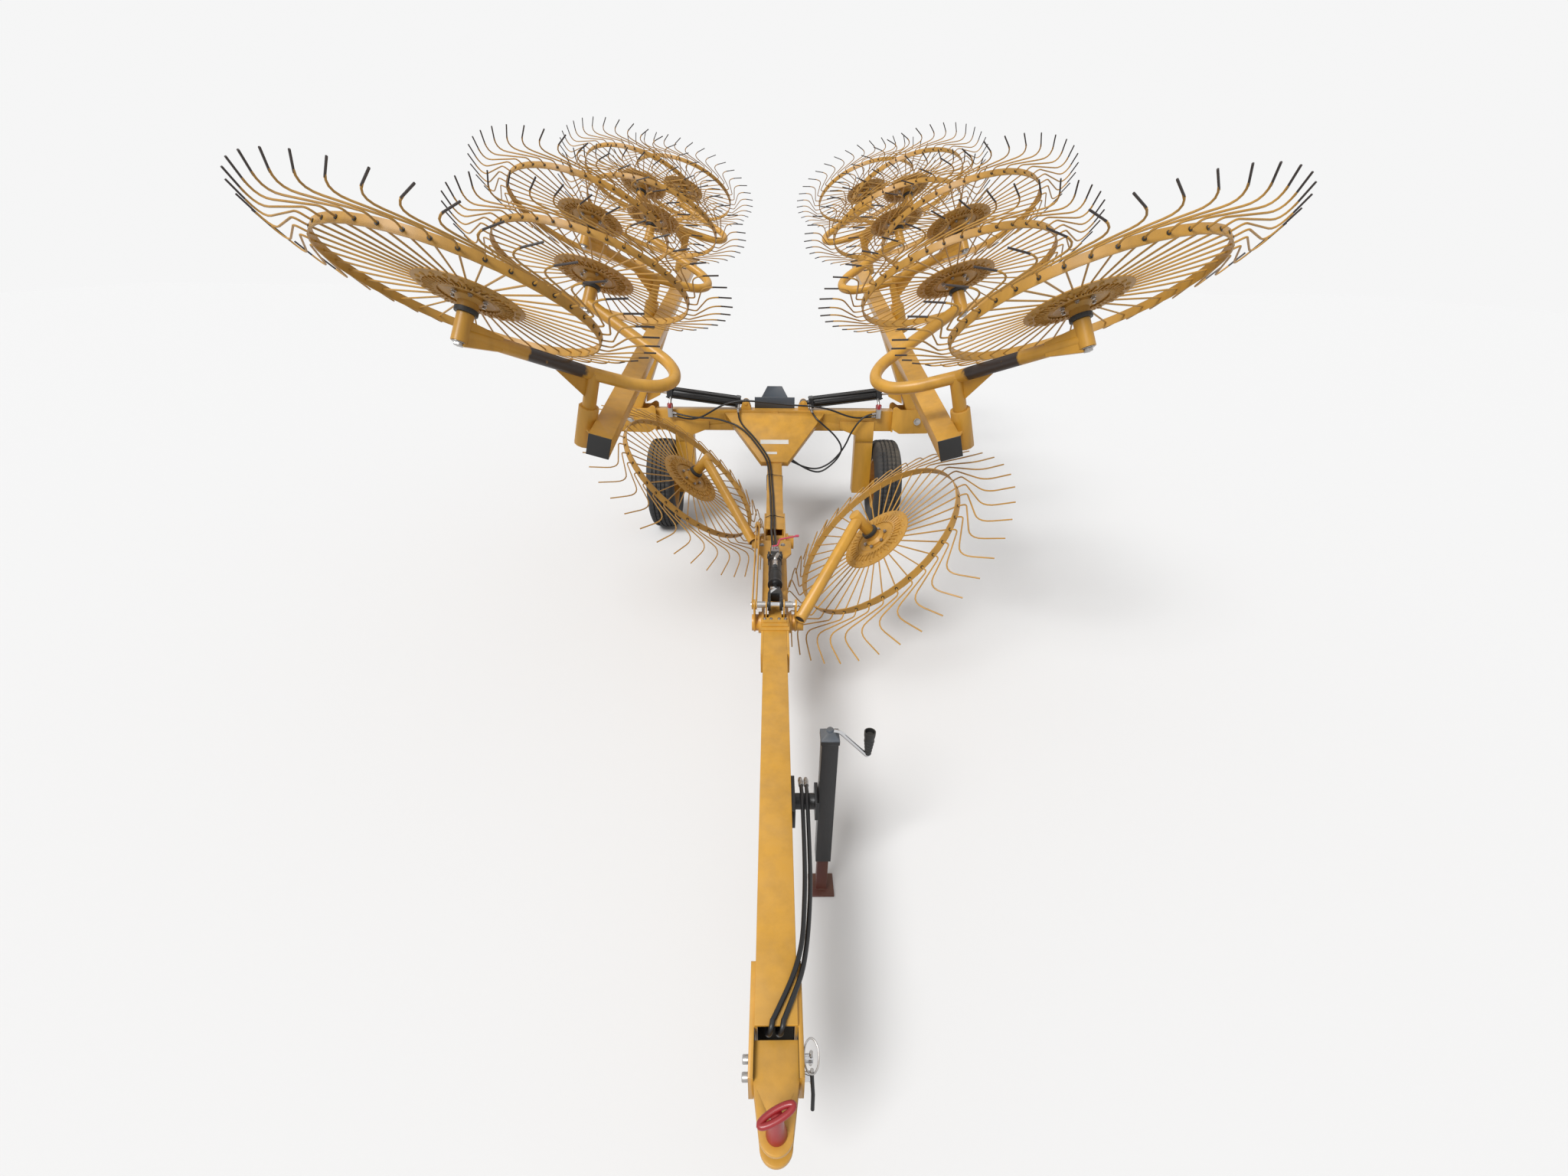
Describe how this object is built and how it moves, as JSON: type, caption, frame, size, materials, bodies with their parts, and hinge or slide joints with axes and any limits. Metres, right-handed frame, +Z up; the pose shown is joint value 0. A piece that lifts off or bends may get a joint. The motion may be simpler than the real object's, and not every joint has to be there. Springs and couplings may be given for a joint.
{
  "type": "wheel rake",
  "caption": "Towed V-shaped hay rake with spring-tined rake wheels on two folding booms, two centre wheels, drawbar with jack, and road wheels.",
  "frame": {"origin": "on the ground under the middle of the machine's box", "axes": "+Z up, +Y to the rear with the hitch towards -Y, +X to the right of someone who stands at the hitch and looks at the machine"},
  "size_m": [3.5082, 7.2319, 2.897],
  "materials": {
    "black_paint": "gloss",
    "black_plastic": "matt",
    "hose_rubber": "satin",
    "primer": "matt",
    "rod_chrome": "polished",
    "slate": "satin",
    "tyre": "matt",
    "wheel_paint": "satin",
    "yellow_paint": "satin",
    "zinc": "satin"
  },
  "bodies": {
    "main": {"drawbar": "yellow_paint", "hitch_tongue": "yellow_paint", "hitch_pin": "zinc", "jack_bracket": "yellow_paint", "jack_tube": "black_paint", "jack_crank": "zinc", "centre_channel": "yellow_paint", "rear_tube": "yellow_paint", "cross_beam": "yellow_paint", "gusset": "yellow_paint", "sign_plate": "slate", "legs": "yellow_paint", "end_brackets": "yellow_paint", "base_lugs": "yellow_paint", "lift_lugs": "yellow_paint", "shut_off_valve": "zinc", "hose_cross_over": "hose_rubber", "hose_drawbar_inner": "hose_rubber", "hose_drawbar_outer": "hose_rubber", "hose_left_inner": "hose_rubber", "hose_left_outer": "hose_rubber", "hose_right_inner": "hose_rubber", "hose_right_outer": "hose_rubber"},
    "jack_leg": {"jack_leg": "primer"},
    "road_wheel_left": {"tyre_left": "tyre", "rim_left": "yellow_paint"},
    "boom_left": {"beam_left": "yellow_paint", "beam_cap_left": "black_plastic", "upright_left": "yellow_paint", "arms_left": "yellow_paint"},
    "fold_barrel_left": {"fold_barrel_left": "black_paint"},
    "fold_rod_left": {"fold_rod_left": "rod_chrome"},
    "rake_1_left": {"rake_wheel_1_left": "wheel_paint"},
    "rake_2_left": {"rake_wheel_2_left": "wheel_paint"},
    "rake_3_left": {"rake_wheel_3_left": "wheel_paint"},
    "rake_4_left": {"rake_wheel_4_left": "wheel_paint"},
    "rake_5_left": {"rake_wheel_5_left": "wheel_paint"},
    "rake_6_left": {"rake_wheel_6_left": "wheel_paint"},
    "road_wheel_right": {"tyre_right": "tyre", "rim_right": "yellow_paint"},
    "boom_right": {"beam_right": "yellow_paint", "beam_cap_right": "black_plastic", "upright_right": "yellow_paint", "arms_right": "yellow_paint"},
    "fold_barrel_right": {"fold_barrel_right": "black_paint"},
    "fold_rod_right": {"fold_rod_right": "rod_chrome"},
    "rake_1_right": {"rake_wheel_1_right": "wheel_paint"},
    "rake_2_right": {"rake_wheel_2_right": "wheel_paint"},
    "rake_3_right": {"rake_wheel_3_right": "wheel_paint"},
    "rake_4_right": {"rake_wheel_4_right": "wheel_paint"},
    "rake_5_right": {"rake_wheel_5_right": "wheel_paint"},
    "rake_6_right": {"rake_wheel_6_right": "wheel_paint"},
    "rocker_front": {"rocker_front": "yellow_paint"},
    "centre_rake_front": {"centre_wheel_front": "wheel_paint"},
    "rocker_rear": {"rocker_rear": "yellow_paint"},
    "centre_rake_rear": {"centre_wheel_rear": "wheel_paint"},
    "link_bars": {"link_bars": "yellow_paint"},
    "lift_barrel": {"lift_barrel": "black_paint"},
    "lift_rod": {"lift_rod": "rod_chrome"}
  },
  "joints": [
    {"name": "jack_leg_slide", "type": "slide", "parent": "main", "child": "jack_leg", "axis": [0, 0, 1], "range_m": [0, 0.15]},
    {"name": "road_wheel_left_spin", "type": "hinge", "parent": "main", "child": "road_wheel_left", "pos_m": [-0.862, 0.595, 0.345], "axis": [1, 0, 0], "continuous": true},
    {"name": "boom_left_fold", "type": "hinge", "parent": "main", "child": "boom_left", "pos_m": [-1.065, 0.595, 0.865], "axis": [0, -1, 0], "range_deg": [0, 75]},
    {"name": "fold_barrel_left_tilt", "type": "hinge", "parent": "main", "child": "fold_barrel_left", "pos_m": [-0.215, 0.595, 0.975], "axis": [0, -1, 0], "range_deg": [-0.0357, 0]},
    {"name": "fold_rod_left_slide", "type": "slide", "parent": "fold_barrel_left", "child": "fold_rod_left", "axis": [-0.9917, 0, 0.1287], "range_m": [0, 0.33576]},
    {"name": "rake_1_left_spin", "type": "hinge", "parent": "boom_left", "child": "rake_1_left", "pos_m": [-1.10379, -1.67559, 1.84375], "axis": [0.2395, 0.444, 0.8634], "continuous": true},
    {"name": "rake_2_left_spin", "type": "hinge", "parent": "boom_left", "child": "rake_2_left", "pos_m": [-0.8839, -0.75579, 1.87267], "axis": [0.2395, 0.444, 0.8634], "continuous": true},
    {"name": "rake_3_left_spin", "type": "hinge", "parent": "boom_left", "child": "rake_3_left", "pos_m": [-1.10379, 0.17533, 2.13691], "axis": [0.2395, 0.444, 0.8634], "continuous": true},
    {"name": "rake_4_left_spin", "type": "hinge", "parent": "boom_left", "child": "rake_4_left", "pos_m": [-0.8839, 1.09513, 2.16582], "axis": [0.2395, 0.444, 0.8634], "continuous": true},
    {"name": "rake_5_left_spin", "type": "hinge", "parent": "boom_left", "child": "rake_5_left", "pos_m": [-1.10379, 2.02626, 2.43007], "axis": [0.2395, 0.444, 0.8634], "continuous": true},
    {"name": "rake_6_left_spin", "type": "hinge", "parent": "boom_left", "child": "rake_6_left", "pos_m": [-0.8839, 2.94606, 2.45898], "axis": [0.2395, 0.444, 0.8634], "continuous": true},
    {"name": "road_wheel_right_spin", "type": "hinge", "parent": "main", "child": "road_wheel_right", "pos_m": [0.862, 0.595, 0.345], "axis": [1, 0, 0], "continuous": true},
    {"name": "boom_right_fold", "type": "hinge", "parent": "main", "child": "boom_right", "pos_m": [1.065, 0.595, 0.865], "axis": [0, 1, 0], "range_deg": [0, 75]},
    {"name": "fold_barrel_right_tilt", "type": "hinge", "parent": "main", "child": "fold_barrel_right", "pos_m": [0.215, 0.595, 0.975], "axis": [0, 1, 0], "range_deg": [-0.0357, 0]},
    {"name": "fold_rod_right_slide", "type": "slide", "parent": "fold_barrel_right", "child": "fold_rod_right", "axis": [0.9917, 0, 0.1287], "range_m": [0, 0.33576]},
    {"name": "rake_1_right_spin", "type": "hinge", "parent": "boom_right", "child": "rake_1_right", "pos_m": [1.10379, -1.67559, 1.84375], "axis": [-0.2395, 0.444, 0.8634], "continuous": true},
    {"name": "rake_2_right_spin", "type": "hinge", "parent": "boom_right", "child": "rake_2_right", "pos_m": [0.8839, -0.75579, 1.87267], "axis": [-0.2395, 0.444, 0.8634], "continuous": true},
    {"name": "rake_3_right_spin", "type": "hinge", "parent": "boom_right", "child": "rake_3_right", "pos_m": [1.10379, 0.17533, 2.13691], "axis": [-0.2395, 0.444, 0.8634], "continuous": true},
    {"name": "rake_4_right_spin", "type": "hinge", "parent": "boom_right", "child": "rake_4_right", "pos_m": [0.8839, 1.09513, 2.16582], "axis": [-0.2395, 0.444, 0.8634], "continuous": true},
    {"name": "rake_5_right_spin", "type": "hinge", "parent": "boom_right", "child": "rake_5_right", "pos_m": [1.10379, 2.02626, 2.43007], "axis": [-0.2395, 0.444, 0.8634], "continuous": true},
    {"name": "rake_6_right_spin", "type": "hinge", "parent": "boom_right", "child": "rake_6_right", "pos_m": [0.8839, 2.94606, 2.45898], "axis": [-0.2395, 0.444, 0.8634], "continuous": true},
    {"name": "rocker_front_lift", "type": "hinge", "parent": "main", "child": "rocker_front", "pos_m": [0, -1.715, 0.48907], "axis": [-1, 0, 0], "range_deg": [0, 20]},
    {"name": "centre_rake_front_spin", "type": "hinge", "parent": "rocker_front", "child": "centre_rake_front", "pos_m": [0.512, -1.275, 0.71707], "axis": [-0.6562, -0.089, 0.7493], "continuous": true},
    {"name": "rocker_rear_lift", "type": "hinge", "parent": "main", "child": "rocker_rear", "pos_m": [0, -0.935, 0.53678], "axis": [-1, 0, 0], "range_deg": [0, 20]},
    {"name": "centre_rake_rear_spin", "type": "hinge", "parent": "rocker_rear", "child": "centre_rake_rear", "pos_m": [-0.512, -0.495, 0.76477], "axis": [0.6562, -0.089, 0.7493], "continuous": true},
    {"name": "link_turn", "type": "hinge", "parent": "rocker_front", "child": "link_bars", "pos_m": [0, -1.74554, 0.60305], "axis": [-1, 0, 0], "range_deg": [-20, 0]},
    {"name": "lift_barrel_tilt", "type": "hinge", "parent": "main", "child": "lift_barrel", "pos_m": [0, -1.29, 0.62006], "axis": [-1, 0, 0], "range_deg": [0, 0.2824]},
    {"name": "lift_rod_slide", "type": "slide", "parent": "lift_barrel", "child": "lift_rod", "axis": [0, -0.9993, -0.0373], "range_m": [-0.04092, 0]}
  ],
  "couplings": [
    {"joint": "fold_barrel_left_tilt", "follows": "boom_left_fold", "ratio": -0.000476},
    {"joint": "fold_rod_left_slide", "follows": "boom_left_fold", "m_per_rad": 0.2565},
    {"joint": "fold_barrel_right_tilt", "follows": "boom_right_fold", "ratio": -0.000476},
    {"joint": "fold_rod_right_slide", "follows": "boom_right_fold", "m_per_rad": 0.2565},
    {"joint": "rocker_rear_lift", "follows": "rocker_front_lift", "ratio": 1},
    {"joint": "link_turn", "follows": "rocker_front_lift", "ratio": -1},
    {"joint": "lift_barrel_tilt", "follows": "rocker_front_lift", "ratio": 0.014122},
    {"joint": "lift_rod_slide", "follows": "rocker_front_lift", "m_per_rad": -0.11724}
  ]
}
